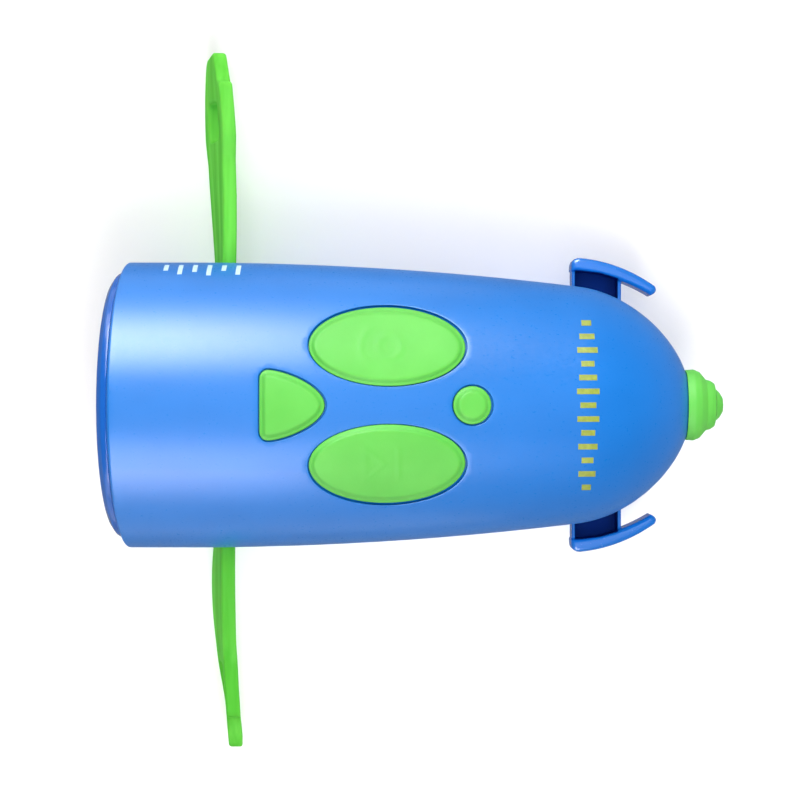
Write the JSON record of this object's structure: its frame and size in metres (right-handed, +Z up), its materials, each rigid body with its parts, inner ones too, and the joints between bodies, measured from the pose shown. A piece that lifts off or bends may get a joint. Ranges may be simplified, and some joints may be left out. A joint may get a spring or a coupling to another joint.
{
  "type": "handlebar light and horn",
  "caption": "Bullet-shaped battery handlebar light and horn with push keys, raked torch and speaker front, strap with side hooks, and a hinged battery door.",
  "frame": {"origin": "centre of the whole object's footprint, on the flat underside of the plinth", "axes": "+Z up, away from the handlebar; the lens faces -Y and the tail faces +Y; +X is the rider's left, with the strap's arms along X"},
  "size_m": [0.11, 0.0949, 0.0445],
  "materials": {
    "shell": "satin blue moulded plastic with a fine texture",
    "gloss_shell": "polished blue plastic",
    "silicone": "soft matt green silicone",
    "grille": "fine textured black plastic",
    "lens": "clear polished acrylic",
    "rubber": "matt black rubber",
    "mirror": "vacuum-metallised plastic",
    "led": "moulded resin",
    "board": "green solder mask",
    "steel": "zinc-plated steel",
    "black_plastic": "black moulded plastic",
    "can": "printed metal sleeve",
    "lead": "PVC insulation"
  },
  "bodies": {
    "body": {"upper_housing": "shell", "lower_housing": "shell", "front_bezel": "gloss_shell", "strap_centre": "silicone", "grille_plate": "grille", "torch_lens": "lens", "lens_seal": "rubber", "reflector": "mirror", "torch_led": "led", "led_board": "board", "main_board": "board", "speaker_frame": "steel", "speaker_magnet": "steel", "front_contact": "steel", "front_left_housing_screw": "steel", "front_left_board_screw": "steel", "front_right_housing_screw": "steel", "front_right_board_screw": "steel", "rear_left_housing_screw": "steel", "rear_left_board_screw": "steel", "rear_right_housing_screw": "steel", "rear_right_board_screw": "steel", "left_battery_spring": "steel", "right_battery_spring": "steel", "left_rear_contact": "steel", "right_rear_contact": "steel", "sound_chip": "black_plastic", "trigger_socket": "black_plastic", "left_switch": "black_plastic", "right_switch": "black_plastic", "front_switch": "black_plastic", "rear_switch": "black_plastic", "capacitor": "can", "left_battery": "can", "right_battery": "can", "left_speaker_lead": "lead", "left_torch_lead": "lead", "right_speaker_lead": "lead", "right_torch_lead": "lead"},
    "left_key": {"left_button": "silicone", "left_switch_plunger": "led"},
    "right_key": {"right_button": "silicone", "right_switch_plunger": "led"},
    "front_key": {"front_button": "silicone", "front_switch_plunger": "led"},
    "rear_key": {"rear_button": "silicone", "rear_switch_plunger": "led"},
    "door": {"battery_door": "shell", "saddle_pad": "rubber"},
    "door_screw": {"door_screw": "steel"},
    "bung": {"socket_bung": "silicone"},
    "cone": {"speaker_cone": "black_plastic"},
    "left_strap_root": {"left_strap_inner": "silicone"},
    "left_strap_end": {"left_strap_outer": "silicone"},
    "right_strap_root": {"right_strap_inner": "silicone"},
    "right_strap_end": {"right_strap_outer": "silicone"}
  },
  "joints": [
    {"name": "left_key_press", "type": "slide", "parent": "body", "child": "left_key", "axis": [0, 0, -1], "range_m": [0, 0.0008], "stiffness_N_per_m": 600, "springref_m": -0.001},
    {"name": "right_key_press", "type": "slide", "parent": "body", "child": "right_key", "axis": [0, 0, -1], "range_m": [0, 0.0008], "stiffness_N_per_m": 600, "springref_m": -0.001},
    {"name": "front_key_press", "type": "slide", "parent": "body", "child": "front_key", "axis": [0, 0, -1], "range_m": [0, 0.0008], "stiffness_N_per_m": 600, "springref_m": -0.001},
    {"name": "rear_key_press", "type": "slide", "parent": "body", "child": "rear_key", "axis": [0, 0, -1], "range_m": [0, 0.0008], "stiffness_N_per_m": 600, "springref_m": -0.001},
    {"name": "door_hinge", "type": "hinge", "parent": "body", "child": "door", "pos_m": [0, -0.024, 0.001], "axis": [-1, 0, 0], "range_deg": [0, 70]},
    {"name": "door_screw_turn", "type": "hinge", "parent": "door", "child": "door_screw", "pos_m": [0, 0.027, 0.001], "axis": [0, 0, 1], "continuous": true},
    {"name": "bung_pull", "type": "slide", "parent": "body", "child": "bung", "axis": [0, 1, 0], "range_m": [0, 0.012]},
    {"name": "cone_travel", "type": "slide", "parent": "body", "child": "cone", "axis": [0, -1, 0], "range_m": [-0.0004, 0.0004], "stiffness_N_per_m": 900},
    {"name": "left_strap_swing", "type": "hinge", "parent": "body", "child": "left_strap_root", "pos_m": [0.028, -0.0303, 0.0081], "axis": [0, 1, 0], "range_deg": [-20, 85], "stiffness_Nm_per_rad": 0.02},
    {"name": "left_strap_curl", "type": "hinge", "parent": "left_strap_root", "child": "left_strap_end", "pos_m": [0.0385, -0.0303, 0.0081], "axis": [0, 0, 1], "range_deg": [-60, 95], "stiffness_Nm_per_rad": 0.015},
    {"name": "right_strap_swing", "type": "hinge", "parent": "body", "child": "right_strap_root", "pos_m": [-0.028, -0.0303, 0.0081], "axis": [0, -1, 0], "range_deg": [-20, 85], "stiffness_Nm_per_rad": 0.02},
    {"name": "right_strap_curl", "type": "hinge", "parent": "right_strap_root", "child": "right_strap_end", "pos_m": [-0.0385, -0.0303, 0.0081], "axis": [0, 0, -1], "range_deg": [-60, 95], "stiffness_Nm_per_rad": 0.015}
  ]
}
